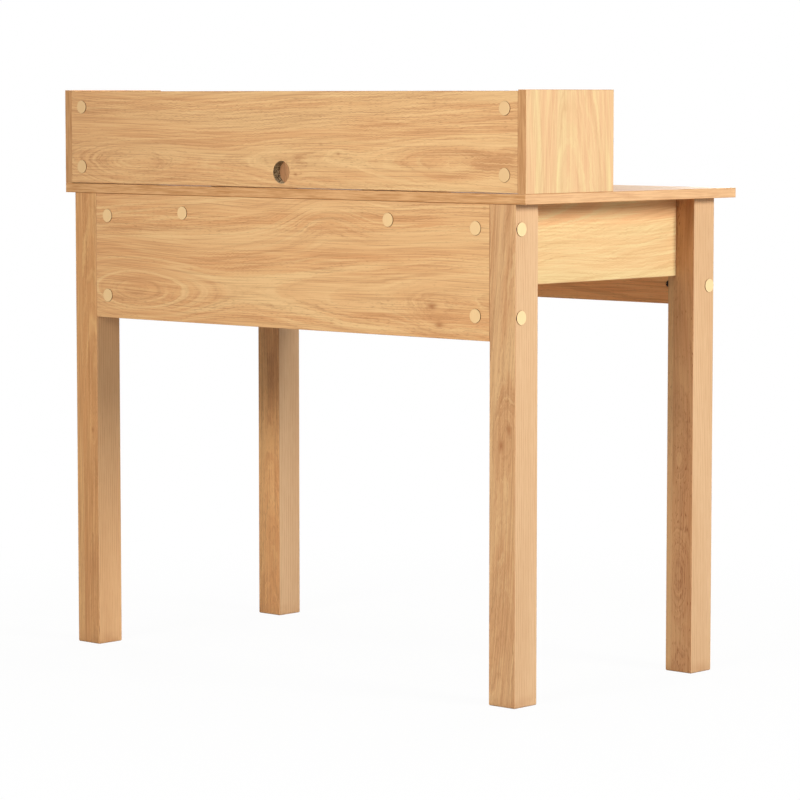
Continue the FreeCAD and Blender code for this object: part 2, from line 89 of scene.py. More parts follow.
class ShaderBench:
    """Adds nodes to one material or node group, joined by the sockets that are passed in."""

    # A Mix node has sockets for every kind of data, and these are a colour's
    COLOUR_A, COLOUR_B, COLOUR_OUT = 6, 7, 2

    def __init__(self, tree):
        self.tree = tree

    def add(self, kind, inputs=None, **settings):
        node = self.tree.nodes.new(kind)
        for name, value in settings.items():
            setattr(node, name, value)
        for socket, value in (inputs or {}).items():
            self.feed(node.inputs[socket], value)
        return node

    def feed(self, socket, value):
        """Links another socket to this one, or sets this one to a plain value."""
        if isinstance(value, bpy.types.NodeSocket):
            self.tree.links.new(value, socket)
        else:
            socket.default_value = value

    def math(self, operation, *values, clamp=False):
        node = self.add("ShaderNodeMath", dict(enumerate(values)), operation=operation, use_clamp=clamp)
        return node.outputs[0]

    def vector(self, operation, *values):
        node = self.add("ShaderNodeVectorMath", dict(enumerate(values)), operation=operation)
        return node.outputs["Value" if operation == "LENGTH" else "Vector"]

    def split(self, vector):
        return self.add("ShaderNodeSeparateXYZ", {"Vector": vector}).outputs[:]

    def join(self, x, y, z):
        return self.add("ShaderNodeCombineXYZ", {"X": x, "Y": y, "Z": z}).outputs[0]

    def noise(self, place, scale=1.0, detail=2.0, roughness=0.5):
        """The outputs of a noise texture: one level from 0 to 1, and three unlike levels as a colour."""
        inputs = {"Vector": place, "Scale": scale, "Detail": detail, "Roughness": roughness}
        return self.add("ShaderNodeTexNoise", inputs).outputs

    def level(self, place, **settings):
        """The one level of a noise texture."""
        return self.noise(place, **settings)[0]

    def sway(self, place, **settings):
        """The level of a noise texture, moved so that it lies about zero."""
        return self.math("SUBTRACT", self.level(place, **settings), 0.5)

    def stretched(self, spot, rates, shift):
        """The place at which noise is looked up for grain, so that it is longer along the board than across.

        Spot is along the grain, across it and through the board, in metres. Rates are how often the noise
        changes in a metre, along the grain and across it. Shift gives each board its own stretch of noise.
        """
        along, across, through = spot
        along_rate, across_rate = rates
        return self.join(self.math("MULTIPLY_ADD", along, along_rate, shift),
                         self.math("MULTIPLY", across, across_rate),
                         self.math("MULTIPLY", through, across_rate))

    def bell(self, away, steepness):
        """A smooth hump: 1 where away is 0, and less on both sides of it."""
        return self.math("EXPONENT", self.math("MULTIPLY", self.math("MULTIPLY", away, away), -steepness))

    def fade(self, value, low, high, to_low=0.0, to_high=1.0):
        """A value that passes smoothly from to_low to to_high while the given one goes from low to high."""
        inputs = {"Value": value, "From Min": low, "From Max": high, "To Min": to_low, "To Max": to_high}
        return self.add("ShaderNodeMapRange", inputs, interpolation_type="SMOOTHSTEP").outputs[0]

    def mix(self, share, first, second, blend="MIX"):
        node = self.add("ShaderNodeMix", {"Factor": share}, data_type="RGBA", blend_type=blend)
        self.feed(node.inputs[self.COLOUR_A], first)
        self.feed(node.inputs[self.COLOUR_B], second)
        return node.outputs[self.COLOUR_OUT]


def new_effect(name, inputs, outputs):
    """A node group with named inputs and outputs. Returns it, its bench, its inputs and its results."""
    tree = bpy.data.node_groups.new(name, "ShaderNodeTree")
    for label, (kind, value) in inputs.items():
        socket = tree.interface.new_socket(name=label, in_out="INPUT", socket_type="NodeSocket" + kind)
        socket.default_value = value
    for label, kind in outputs.items():
        tree.interface.new_socket(name=label, in_out="OUTPUT", socket_type="NodeSocket" + kind)
    given = tree.nodes.new("NodeGroupInput").outputs
    result = tree.nodes.new("NodeGroupOutput").inputs
    return tree, ShaderBench(tree), given, result


def use_effect(bench, tree, **values):
    """Places a node group in a material, and returns its outputs. The value knot_one goes to Knot One."""
    node = bench.add("ShaderNodeGroup", node_tree=tree)
    for name, value in values.items():
        bench.feed(node.inputs[name.replace("_", " ").title()], value)
    return node.outputs


# The figure of the oak print

# Far outside every board, for a knot, burl or blush that a board lacks
NOWHERE = (9.0, 9.0, 9.0)

# How far the noise moves along for each step of a board's seed
SHIFT_PER_SEED = 7.31

# How often each layer of noise changes in a metre, along the grain and across it
LIVELY_RATES = (2.6, 11.0)
WAVE_RATES = (2.0, 5.0)
ZIGZAG_RATES = (170.0, 34.0)
FLOW_RATES = (1.0, 3.6)
FIBRE_RATES = (9.0, 620.0)
PORE_RATES = (95.0, 800.0)
CLOUD_RATES = (1.4, 30.0)
WANDER_RATE = 1.9
LONG_RIPPLE_RATE = 6.0
SHORT_RIPPLE_RATE = 38.0

# How far a full step of noise moves the grain or the rings, and how much the slow wander of the heart line,
# which stays near its middle, is enlarged to fill its swing
WAVE_REACH = 40 * MM
ZIGZAG_REACH = 3.6 * MM
LONG_RIPPLE_REACH = 11 * MM
SHORT_RIPPLE_REACH = 4.2 * MM
WANDER_GAIN = 4.0

# Knots and burls. A length share under 1 makes them longer along the grain than across it, a steeper one is
# narrower, and fraying is how much the short ripples roughen a knot's outline.
KNOT_STRENGTHS = {"One": 1.0, "Two": 0.8}
KNOT_LENGTH_SHARE = 0.5
KNOT_FRAYING = 1.2
KNOT_PUSH = 2.7
KNOT_PUSH_STEEPNESS = 0.06
KNOT_CORE_STEEPNESS = 1.6
BURL_LENGTH_SHARES = {"One": 0.6, "Two": 0.35}
BURL_STEEPNESS = 1.0

# Bands follow the rings, and fine lines lie within them. Leaning with the grain keeps both narrow where a
# ring lies flat in the face.
BAND_LEAN = 24.0
BAND_RATE = 1.8
LINES_PER_RING = 3.4
LINE_LEAN = 90.0
LINE_RATE = 6.0
LATE_WOOD_SHARPNESS = 4.0

# A pore opens where its noise is over this level, which crowded places and dark lines lower
PORE_LEVEL = 0.70
CROWDED_PORES = 0.09
LINED_PORES = 0.07
PORE_SOFTNESS = 0.09
PORE_ROUGHNESS = 0.14

# How deep the pores and how high the fibres are pressed, as shares of the depth of the grain
PORE_DEPTH = 0.7
FIBRE_HEIGHT = 0.15


def lean_of_grain(bench, given, spot, shift):
    """The place across the board as its fibres run: aslant, in long waves, and in zigzags here and there."""
    along, across, _ = spot
    lively = bench.fade(bench.level(bench.stretched(spot, LIVELY_RATES, shift), detail=1.0), 0.50, 0.62)
    wave = bench.sway(bench.stretched(spot, WAVE_RATES, shift), detail=1.0)
    zigzag = bench.sway(bench.stretched(spot, ZIGZAG_RATES, shift), detail=1.0)
    lean = bench.math("MULTIPLY_ADD", along, given["Slant"], across)
    lean = bench.math("MULTIPLY_ADD", wave, WAVE_REACH, lean)
    return bench.math("MULTIPLY_ADD", bench.math("MULTIPLY", zigzag, lively), ZIGZAG_REACH, lean)


def ring_radius(bench, given, spot, shift):
    """How far out in the tree a place was. The heart line wanders slowly along the grain."""
    along, lean, through = spot
    heart_along, heart_across, heart_through = bench.split(given["Heart"])
    wander_place = bench.join(bench.math("MULTIPLY", along, WANDER_RATE), shift, 0.0)
    wander = bench.vector("SUBTRACT", bench.noise(wander_place, detail=1.0)["Color"], (0.5, 0.5, 0.5))
    wander_across, wander_through, _ = bench.split(wander)
    swing = bench.math("MULTIPLY", given["Swing"], WANDER_GAIN)
    out_across = bench.math("SUBTRACT", bench.math("SUBTRACT", lean, heart_across),
                            bench.math("MULTIPLY", wander_across, swing))
    out_through = bench.math("SUBTRACT", bench.math("SUBTRACT", through, heart_through),
                             bench.math("MULTIPLY", wander_through, swing))
    radius = bench.vector("LENGTH", bench.join(out_across, out_through, 0.0))
    return bench.math("MULTIPLY_ADD", bench.math("SUBTRACT", along, heart_along), given["Rise"], radius)


def bend_round_knots(bench, given, on_board, fraying, radius):
    """Pushes the rings aside at the knots and the burls. Returns them and a mask of the knots' cores."""
    knot_core = 0.0
    for number, strength in KNOT_STRENGTHS.items():
        offset = bench.vector("SUBTRACT", on_board, given["Knot " + number])
        offset = bench.vector("MULTIPLY", offset, (KNOT_LENGTH_SHARE, 1.0, 0.0))
        away = bench.math("DIVIDE", bench.vector("LENGTH", offset), given["Knot Size"])
        away = bench.math("MULTIPLY_ADD", fraying, KNOT_FRAYING, away)
        push = bench.math("MULTIPLY", bench.bell(away, KNOT_PUSH_STEEPNESS), -KNOT_PUSH * strength)
        radius = bench.math("MULTIPLY_ADD", push, given["Knot Size"], radius)
        core = bench.math("MULTIPLY", bench.bell(away, KNOT_CORE_STEEPNESS), strength)
        knot_core = bench.math("ADD", core, knot_core, clamp=True)
    for number, length_share in BURL_LENGTH_SHARES.items():
        offset = bench.vector("SUBTRACT", on_board, given["Burl " + number])
        offset = bench.vector("MULTIPLY", offset, (length_share, 1.0, 0.0))
        away = bench.math("DIVIDE", bench.vector("LENGTH", offset), given["Burl Size"])
        push = bench.math("MULTIPLY", given["Push " + number], -1.0)
        radius = bench.math("MULTIPLY_ADD", bench.bell(away, BURL_STEEPNESS), push, radius)
    return radius, knot_core


def make_oak_figure():
    """Oak as it was sliced for the print: rings round a wandering heart line, with pores, fibres and knots.

    Place is metres along the grain, across it and through the board, from the board's middle. Heart is where
    the middle of the tree lies, in the same terms, and Swing how far it wanders. Rise is how fast the rings
    widen along the grain, Ring the width of one, and Slant how far the fibres run aside in each metre. The
    rings bend round two knots, with dark cores, and round two broader burls, each by its own Push. Painted
    Shade is the middle of a patch of painted shade in the warm colour, and Painted Shade Reach its size. Warm
    Share is how much of the warm colour lies in other places, as part of the print.
    """
    tree, bench, given, result = new_effect(
        "oak_figure",
        {
            "Place": ("Vector", (0, 0, 0)), "Seed": ("Float", 0), "Heart": ("Vector", (0, 0, -0.05)),
            "Rise": ("Float", 0.05), "Swing": ("Float", 0.02), "Ring": ("Float", 0.008),
            "Slant": ("Float", 0.0),
            "Knot One": ("Vector", NOWHERE), "Knot Two": ("Vector", NOWHERE), "Knot Size": ("Float", 0.006),
            "Burl One": ("Vector", NOWHERE), "Burl Two": ("Vector", NOWHERE), "Burl Size": ("Float", 0.05),
            "Push One": ("Float", 0.0), "Push Two": ("Float", 0.0),
            "Blush": ("Vector", NOWHERE), "Blush Reach": ("Vector", (1, 1, 1)), "Warm Share": ("Float", 1.0),
            "Pale": ("Color", OAK_PALE), "Mid": ("Color", OAK_MID), "Warm": ("Color", OAK_WARM),
            "Dark": ("Color", OAK_DARK), "Pore": ("Color", OAK_PORE), "Pore Share": ("Float", 0.30),
        },
        {"Color": "Color", "Roughness": "Float", "Height": "Float"},
    )
    along, across, through = bench.split(given["Place"])
    on_board = bench.join(along, across, 0.0)
    seed = given["Seed"]
    shift = bench.math("MULTIPLY", seed, SHIFT_PER_SEED)
    lean = lean_of_grain(bench, given, (along, across, through), shift)
    grain_spot = (along, lean, through)

    # Rings, with long ripples and short ones, bent round the knots
    flow = bench.stretched(grain_spot, FLOW_RATES, shift)
    long_ripple = bench.sway(flow, scale=LONG_RIPPLE_RATE, detail=2.0)
    short_ripple = bench.sway(flow, scale=SHORT_RIPPLE_RATE, detail=3.0, roughness=0.6)
    radius = ring_radius(bench, given, grain_spot, shift)
    radius = bench.math("MULTIPLY_ADD", long_ripple, LONG_RIPPLE_REACH, radius)
    radius = bench.math("MULTIPLY_ADD", short_ripple, SHORT_RIPPLE_REACH, radius)
    radius, knot_core = bend_round_knots(bench, given, on_board, short_ripple, radius)

    # Bands of uneven width, the fine lines within them, and the dark late wood of each ring
    turns = bench.math("DIVIDE", radius, given["Ring"])
    band_turns = bench.math("MULTIPLY_ADD", lean, BAND_LEAN, bench.math("ADD", turns, shift))
    band_place = bench.join(band_turns, bench.math("MULTIPLY", along, BAND_RATE), seed)
    band = bench.level(band_place, detail=3.0, roughness=0.6)
    line_turns = bench.math("MULTIPLY_ADD", turns, LINES_PER_RING, shift)
    line_turns = bench.math("MULTIPLY_ADD", lean, LINE_LEAN, line_turns)
    line_place = bench.join(line_turns, bench.math("MULTIPLY", along, LINE_RATE),
                            bench.math("MULTIPLY", across, LINE_RATE))
    line = bench.level(line_place, detail=2.0, roughness=0.6)
    late_wood = bench.math("POWER", bench.math("FRACT", turns), LATE_WOOD_SHARPNESS)

    # Broad changes of tone, fibres, and the short dark ticks of the pores, which gather in some rings
    fibre = bench.level(bench.stretched(grain_spot, FIBRE_RATES, shift), detail=1.5, roughness=0.55)
    cloud = bench.noise(bench.stretched(grain_spot, CLOUD_RATES, shift), detail=2.0)
    tone, crowding, _ = bench.split(cloud["Color"])
    pore_level = bench.math("MULTIPLY_ADD", bench.fade(crowding, 0.38, 0.62), -CROWDED_PORES, PORE_LEVEL)
    pore_level = bench.math("MULTIPLY_ADD", bench.fade(line, 0.60, 0.40), -LINED_PORES, pore_level)
    pore_noise = bench.level(bench.stretched(grain_spot, PORE_RATES, shift), detail=1.0)
    pore = bench.fade(bench.math("SUBTRACT", pore_noise, pore_level), 0.0, PORE_SOFTNESS)

    # The ground of the print, and the inks that are laid over it one by one, each with its share
    # The patch round Painted Shade is painted shade in the warm colour, added to the print's own warm tone
    from_painted_shade = bench.vector("SUBTRACT", on_board, given["Blush"])
    painted_shade_away = bench.vector("LENGTH", bench.vector("DIVIDE", from_painted_shade, given["Blush Reach"]))
    warmth_and_painted_shade = bench.math("MULTIPLY_ADD", bench.fade(tone, 0.40, 0.60), given["Warm Share"],
                        bench.fade(painted_shade_away, 1.0, 0.3), clamp=True)
    busy = bench.fade(crowding, 0.40, 0.60, to_low=0.35, to_high=1.15)
    inks = (
        (bench.fade(band, 0.50, 0.70, to_high=0.70), given["Pale"]),
        (bench.fade(band, 0.46, 0.30, to_high=0.34), given["Dark"]),
        (bench.math("MULTIPLY", busy, bench.fade(line, 0.52, 0.72, to_high=0.55)), given["Pale"]),
        (bench.math("MULTIPLY", busy, bench.fade(line, 0.48, 0.28, to_high=0.36)), given["Dark"]),
        (bench.math("MULTIPLY", late_wood, 0.12), given["Dark"]),
        (bench.fade(fibre, 0.50, 0.70, to_high=0.40), given["Dark"]),
        (bench.fade(fibre, 0.50, 0.30, to_high=0.55), given["Pale"]),
        (bench.math("MULTIPLY", pore, given["Pore Share"]), given["Pore"]),
        (bench.math("MULTIPLY", knot_core, 0.85), OAK_KNOT),
    )
    colour = bench.mix(warmth_and_painted_shade, given["Mid"], given["Warm"])
    for share, ink in inks:
        colour = bench.mix(share, colour, ink)
    roughness = bench.fade(tone, 0.2, 0.8, to_low=0.38, to_high=0.46)
    bench.feed(result["Color"], colour)
    pressed = bench.math("MULTIPLY", fibre, FIBRE_HEIGHT)
    bench.feed(result["Height"], bench.math("MULTIPLY_ADD", pore, -PORE_DEPTH, pressed))
    bench.feed(result["Roughness"], bench.math("MULTIPLY_ADD", pore, PORE_ROUGHNESS, roughness))
    return tree


# Other effects shared by the materials

# A place nearer to a face of a board than the foil's depth is on that face. The arris between two faces,
# darkened as painted shade of the seams between boards, fades out from its start to its end.
FOIL_DEPTH = 0.45 * MM
ARRIS_START = 0.4 * MM
ARRIS_END = 0.9 * MM

# The edge strip, the combed print, the chips of the raw board, and the rubbed patches
EDGE_LINE_RATES = (18.0, 18.0, 480.0)
EDGE_TONE_RATES = (30.0, 30.0, 90.0)
COMB_PITCH = 4 * MM
COMB_DRIFT_RATES = (3.0, 22.0)
COMB_DASH_RATES = (26.0, 500.0)
COMB_DRIFT_LINES = 3.2
CHIP_SIZE = 1.6 * MM
SCUFF_HEIGHT = 20 * MM
GRAZE_SIZE = 30 * MM


def make_board_faces():
    """Tells a board's foiled faces from its edge bands, its arrises and the raw board inside its holes."""
    tree, bench, given, result = new_effect(
        "board_faces",
        {"Place": ("Vector", (0, 0, 0)), "Half": ("Vector", (1, 1, 1)), "Rim": ("Float", FOIL_DEPTH)},
        {"Band": "Float", "End": "Float", "Raw": "Float", "Arris": "Float"},
    )
    depth = bench.vector("SUBTRACT", given["Half"], bench.vector("ABSOLUTE", given["Place"]))
    from_end, from_side, from_face = bench.split(depth)
    from_edge = bench.math("MINIMUM", from_end, from_side)
    on_edge = bench.math("LESS_THAN", from_edge, given["Rim"])
    off_edge = bench.math("SUBTRACT", 1.0, on_edge)
    off_face = bench.math("SUBTRACT", 1.0, bench.math("LESS_THAN", from_face, given["Rim"]))
    from_corner = bench.math("MAXIMUM", from_edge, from_face)
    bench.feed(result["Band"], bench.math("MULTIPLY", off_face, on_edge))
    bench.feed(result["End"], bench.math("LESS_THAN", from_end, given["Rim"]))
    bench.feed(result["Raw"], bench.math("MULTIPLY", off_face, off_edge))
    bench.feed(result["Arris"], bench.fade(from_corner, ARRIS_END, ARRIS_START))
    return tree


def make_edge_band():
    """The thin printed strip on the edges of a board, with fine straight lines that run along the edge."""
    tree, bench, given, result = new_effect(
        "edge_band",
        {
            "Place": ("Vector", (0, 0, 0)), "Seed": ("Float", 0),
            "Light": ("Color", BAND_LIGHT), "Shade": ("Color", BAND_DARK),
        },
        {"Color": "Color", "Height": "Float"},
    )
    line_place = bench.vector("MULTIPLY", given["Place"], EDGE_LINE_RATES)
    line_place = bench.vector("ADD", line_place, bench.join(given["Seed"], 0.0, 0.0))
    lines = bench.level(line_place, detail=3.0, roughness=0.65)
    tone = bench.level(bench.vector("MULTIPLY", given["Place"], EDGE_TONE_RATES), detail=1.0)
    share = bench.math("ADD", bench.fade(lines, 0.32, 0.68),
                       bench.fade(tone, 0.4, 0.7, to_low=-0.08, to_high=0.08), clamp=True)
    bench.feed(result["Color"], bench.mix(share, given["Light"], given["Shade"]))
    bench.feed(result["Height"], bench.math("MULTIPLY", lines, 0.25))
    return tree


def make_combed_foil():
    """The print on the sides of a leg: fine straight lines at an even pitch, on a pinker ground."""
    tree, bench, given, result = new_effect(
        "combed_foil",
        {
            "Place": ("Vector", (0, 0, 0)), "Seed": ("Float", 0), "Pitch": ("Float", COMB_PITCH),
            "Ground": ("Color", COMB_GROUND), "Line": ("Color", COMB_LINE),
        },
        {"Color": "Color"},
    )
    along, _, through = bench.split(given["Place"])
    side_spot = (along, through, 0.0)
    drift = bench.level(bench.stretched(side_spot, COMB_DRIFT_RATES, given["Seed"]), detail=2.0)
    dash = bench.level(bench.stretched(side_spot, COMB_DASH_RATES, given["Seed"]), detail=3.0, roughness=0.6)
    count = bench.math("DIVIDE", through, given["Pitch"])
    count = bench.math("MULTIPLY_ADD", drift, COMB_DRIFT_LINES, count)
    wave = bench.math("SINE", bench.math("MULTIPLY", count, 2 * math.pi))
    wave = bench.math("MULTIPLY_ADD", wave, 0.5, 0.5)
    share = bench.math("MULTIPLY", wave, bench.fade(dash, 0.3, 0.65, to_low=0.25))
    share = bench.math("ADD", bench.fade(drift, 0.35, 0.65, to_high=0.25), share, clamp=True)
    bench.feed(result["Color"], bench.mix(share, given["Ground"], given["Line"]))
    return tree


def make_chipboard():
    """Raw chipboard, as a saw or a drill leaves it: pressed chips of three tones, with dark gaps."""
    tree, bench, given, result = new_effect(
        "chipboard",
        {"Point": ("Vector", (0, 0, 0)), "Chip": ("Float", CHIP_SIZE)},
        {"Color": "Color", "Height": "Float"},
    )
    chips_per_metre = bench.math("DIVIDE", 1.0, given["Chip"])
    chips = bench.add("ShaderNodeTexVoronoi", {"Vector": given["Point"], "Scale": chips_per_metre}).outputs
    tone = bench.split(chips["Color"])[0]
    gap = bench.fade(chips["Distance"], 0.55, 0.85)
    colour = bench.mix(bench.fade(tone, 0.25, 0.8), CHIP_MID, CHIP_PALE)
    colour = bench.mix(bench.fade(tone, 0.3, 0.05), colour, CHIP_DARK)
    colour = bench.mix(bench.math("MULTIPLY", gap, 0.8), colour, CHIP_DARK)
    bench.feed(result["Color"], colour)
    bench.feed(result["Height"], bench.math("SUBTRACT", tone, gap))
    return tree


def make_grazes():
    """Rubbed patches that gather near the floor, and a thin uneven dust."""
    tree, bench, given, result = new_effect(
        "grazes",
        {"Point": ("Vector", (0, 0, 0)), "Reach": ("Float", SCUFF_HEIGHT), "Patch": ("Float", GRAZE_SIZE)},
        {"Scuff": "Float", "Dust": "Float"},
    )
    height = bench.split(given["Point"])[2]
    patches_per_metre = bench.math("DIVIDE", 1.0, given["Patch"])
    blotch = bench.level(given["Point"], scale=patches_per_metre, detail=4.0, roughness=0.6)
    low_down = bench.math("SUBTRACT", 1.0, bench.math("DIVIDE", height, given["Reach"]), clamp=True)
    bench.feed(result["Scuff"], bench.math("MULTIPLY", bench.fade(blotch, 0.35, 0.6), low_down))
    bench.feed(result["Dust"], bench.fade(blotch, 0.56, 0.74))
    return tree


oak_figure = make_oak_figure()
board_faces = make_board_faces()
edge_band = make_edge_band()
combed_foil = make_combed_foil()
chipboard = make_chipboard()
grazes = make_grazes()


# Materials

def start_material(name):
    """An empty material with its own bench, Principled shader and object coordinates."""
    material = bpy.data.materials.new(name)
    material.use_nodes = True
    bench = ShaderBench(material.node_tree)
    shader = material.node_tree.nodes["Principled BSDF"]
    point = bench.add("ShaderNodeTexCoord").outputs["Object"]
    return material, bench, shader, point


def raise_surface(bench, shader, height, depth, strength):
    """Presses a height into a surface, to the given depth in metres and as strongly as given."""
    bump = bench.add("ShaderNodeBump", {"Height": height, "Distance": depth, "Strength": strength})
    bench.feed(shader.inputs["Normal"], bump.outputs[0])


def board_place(bench, point, part, axes):
    """Metres along the grain, across it and through the board from the part's middle, and its half sizes."""
    low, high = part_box(part)
    centred = bench.split(bench.vector("SUBTRACT", point, (low + high) / 2))
    half = [(high[AXES[a]] - low[AXES[a]]) / 2 for a in axes]
    return bench.join(*(centred[AXES[a]] for a in axes)), half


# How far along and across the print a second strip of foil is cut from the first
NEXT_STRIP = (0.37, 0.09, 0.0)

# A leg shows raw board deeper than its skin, and the combed print of its sides ends between the other depths
LEG_SKIN = 1.3 * MM
LEG_SIDE_START = 0.4 * MM
LEG_SIDE_END = 1.0 * MM

# The depth of the pressed grain, the painted seam shade on the arrises, and how a board's wear shows in its
# colour and roughness
FOIL_GRAIN_DEPTH = 0.12 * MM
ARRIS_PAINTED_SHADE = 0.62
SCUFF_SHADE = 0.45
DUST_ROUGHNESS = 0.05
BARE_ROUGHNESS = 0.85


def banded_edges(bench, place, seed, band, faces, colour, height):
    """Puts the edge strip round a board. Band is the light and the dark colour of its long edges."""
    # The end strips take their paler, yellower colours: painted sheen
    light = bench.mix(faces["End"], band[0], PAINTED_SHEEN_END_BAND_LIGHT)
    shade = bench.mix(faces["End"], band[1], PAINTED_SHEEN_END_BAND_DARK)
    strip = use_effect(bench, edge_band, place=place, seed=seed, light=light, shade=shade)
    off_band = bench.math("SUBTRACT", 1.0, faces["Band"])
    height = bench.math("ADD", bench.math("MULTIPLY", height, off_band),
                        bench.math("MULTIPLY", strip["Height"], faces["Band"]))
    return bench.mix(faces["Band"], colour, strip["Color"]), height


def combed_sides(bench, place, half, seed, comb, colour):
    """Puts the combed print on the sides of a leg. Returns its colour and where the raw board is open."""
    depth = bench.vector("SUBTRACT", half, bench.vector("ABSOLUTE", place))
    _, from_side, from_face = bench.split(depth)
    skin = bench.math("LESS_THAN", bench.math("MINIMUM", from_side, from_face), LEG_SKIN)
    combed = use_effect(bench, combed_foil, place=place, seed=seed, ground=comb[0], line=comb[1])
    on_side = bench.fade(from_side, LEG_SIDE_END, LEG_SIDE_START)
    return bench.mix(on_side, colour, combed["Color"]), bench.math("SUBTRACT", 1.0, skin)


def oak_foil(part, axes, seed, wrapped=False, sheen=0.42, band=(BAND_LIGHT, BAND_DARK),
             comb=(COMB_GROUND, COMB_LINE), seam=None, paler=0.0, front_tint=None,
             gloss=1.0, relief=0.5, **figure):
    """Oak-print foil on one board. Axes are the row axes along the grain, across it and through the board.

    Wrapped foil goes round a leg, and other boards have edge strips. Seam is the place across the board past
    which a second strip of foil begins, with another part of the print, and paler is how much lighter it is.
    Front tint darkens the print on the face towards the sitter. Gloss scales the roughness, and relief the
    depth of the pressed grain: the desktop is the smoothest board.
    """
    material, bench, shader, point = start_material("oak_foil_" + part)
    place, half = board_place(bench, point, part, axes)
    _, across, through = bench.split(place)
    print_place = place
    if seam is not None:
        beyond = bench.math("GREATER_THAN", across, seam)
        print_place = bench.vector("MULTIPLY_ADD", bench.join(beyond, beyond, beyond), NEXT_STRIP, place)
    oak = use_effect(bench, oak_figure, place=print_place, seed=seed, **figure)
    faces = use_effect(bench, board_faces, place=place, half=half)
    chips = use_effect(bench, chipboard, point=point)
    wear = use_effect(bench, grazes, point=point)

    colour, height = oak["Color"], oak["Height"]
    if seam is not None:
        colour = bench.mix(bench.math("MULTIPLY", beyond, paler), colour, OAK_PALE)
    # On the front rail the front tint takes the painted shade of its back face off its front face
    if front_tint is not None:
        in_front = bench.math("LESS_THAN", through, 0.0)
        colour = bench.mix(in_front, colour, front_tint, blend="MULTIPLY")
    if wrapped:
        colour, raw = combed_sides(bench, place, half, seed, comb, colour)
    else:
        colour, height = banded_edges(bench, place, seed, band, faces, colour, height)
        raw = faces["Raw"]
    # Every arris is darkened towards OAK_DARK: painted shade of the seams between boards
    colour = bench.mix(bench.math("MULTIPLY", faces["Arris"], ARRIS_PAINTED_SHADE), colour, OAK_DARK)
    colour = bench.mix(bench.math("MULTIPLY", wear["Scuff"], SCUFF_SHADE), colour, OAK_DARK)
    colour = bench.mix(raw, colour, chips["Color"])
    height = bench.math("MULTIPLY_ADD", raw, chips["Height"], height)

    roughness = bench.math("MULTIPLY", oak["Roughness"], gloss)
    roughness = bench.math("MULTIPLY_ADD", wear["Dust"], DUST_ROUGHNESS, roughness)
    bare = bench.math("MULTIPLY", bench.math("MAXIMUM", raw, faces["Arris"]), BARE_ROUGHNESS)
    bench.feed(shader.inputs["Base Color"], colour)
    bench.feed(shader.inputs["Roughness"], bench.math("MAXIMUM", roughness, bare))
    shader.inputs["Specular IOR Level"].default_value = sheen
    raise_surface(bench, shader, height, FOIL_GRAIN_DEPTH, relief)
    return material


KNOB_PATCH = 12 * MM
KNOB_DUST_SHADE = 0.12
KNOB_DUST_ROUGHNESS = 0.08


def turned_oak(part, seed):
    """Lacquered solid oak, turned, with its grain along the knob's axis."""
    material, bench, shader, point = start_material("turned_" + part)
    place, _ = board_place(bench, point, part, "YXZ")
    oak = use_effect(bench, oak_figure, place=place, seed=seed, heart=(0, 0.006, -0.020), rise=0.0,
                     swing=0.001, ring=0.0022)
    wear = use_effect(bench, grazes, point=point, patch=KNOB_PATCH)
    colour = bench.mix(bench.math("MULTIPLY", wear["Dust"], KNOB_DUST_SHADE), oak["Color"], OAK_PALE)
    roughness = bench.math("MULTIPLY_ADD", wear["Dust"], KNOB_DUST_ROUGHNESS, oak["Roughness"])
    bench.feed(shader.inputs["Base Color"], colour)
    bench.feed(shader.inputs["Roughness"], roughness)
    shader.inputs["Coat Weight"].default_value = 0.35
    shader.inputs["Coat Roughness"].default_value = 0.22
    raise_surface(bench, shader, oak["Height"], depth=0.08 * MM, strength=0.5)
    return material


# How often the fine marks of the small parts change in a metre, the same all ways or along X, Y and Z
BEECH_FLECK_RATE = 900.0
BEECH_STREAK_RATES = (120.0, 30.0, 260.0)
HARDBOARD_FIBRE_RATES = (700.0, 240.0, 240.0)
HARDBOARD_BLOTCH_RATE = 14.0
CAP_PRINT_RATES = (900.0, 900.0, 60.0)
CAP_SPECKLE_RATE = 600.0
METAL_GRAIN_RATE = 2200.0
ENAMEL_PEEL_RATE = 420.0
ENAMEL_STREAK_RATES = (900.0, 14.0, 200.0)
NYLON_CLOUD_RATE = 160.0
NYLON_GRAIN_RATE = 1500.0


def beech_wood():
    """Beech dowels, with small flecks that gather in streaks."""
    material, bench, shader, point = start_material("beech_dowels")
    flecks = bench.level(point, scale=BEECH_FLECK_RATE, detail=2.0)
    streaks = bench.level(bench.vector("MULTIPLY", point, BEECH_STREAK_RATES), detail=3.0)
    share = bench.math("MULTIPLY", bench.fade(flecks, 0.5, 0.7), bench.fade(streaks, 0.3, 0.7, to_low=0.4))
    bench.feed(shader.inputs["Base Color"], bench.mix(share, BEECH, BEECH_FLECK))
    bench.feed(shader.inputs["Roughness"], bench.fade(flecks, 0.3, 0.7, to_low=0.55, to_high=0.72))
    raise_surface(bench, shader, flecks, depth=0.1 * MM, strength=0.4)
    return material


def smooth_hardboard():
    """The smooth face of the drawer bottoms, brown, with short fibres and soft blotches."""
    material, bench, shader, point = start_material("hardboard_bottoms")
    fibre_place = bench.vector("MULTIPLY", point, HARDBOARD_FIBRE_RATES)
    fibres = bench.level(fibre_place, detail=4.0, roughness=0.7)
    blotch = bench.level(point, scale=HARDBOARD_BLOTCH_RATE, detail=2.0)
    share = bench.math("ADD", bench.fade(fibres, 0.4, 0.7),
                       bench.fade(blotch, 0.4, 0.7, to_low=-0.25, to_high=0.25), clamp=True)
    bench.feed(shader.inputs["Base Color"], bench.mix(share, HARDBOARD, HARDBOARD_FIBRE))
    bench.feed(shader.inputs["Roughness"], bench.fade(fibres, 0.3, 0.7, to_low=0.5, to_high=0.7))
    raise_surface(bench, shader, fibres, depth=0.15 * MM, strength=0.4)
    return material


# The top of a cap is what lies less than this below its outer face, and the rest is its cut edge
CAP_TOP = 0.1 * MM
CAP_CUT_ROUGHNESS = 0.9


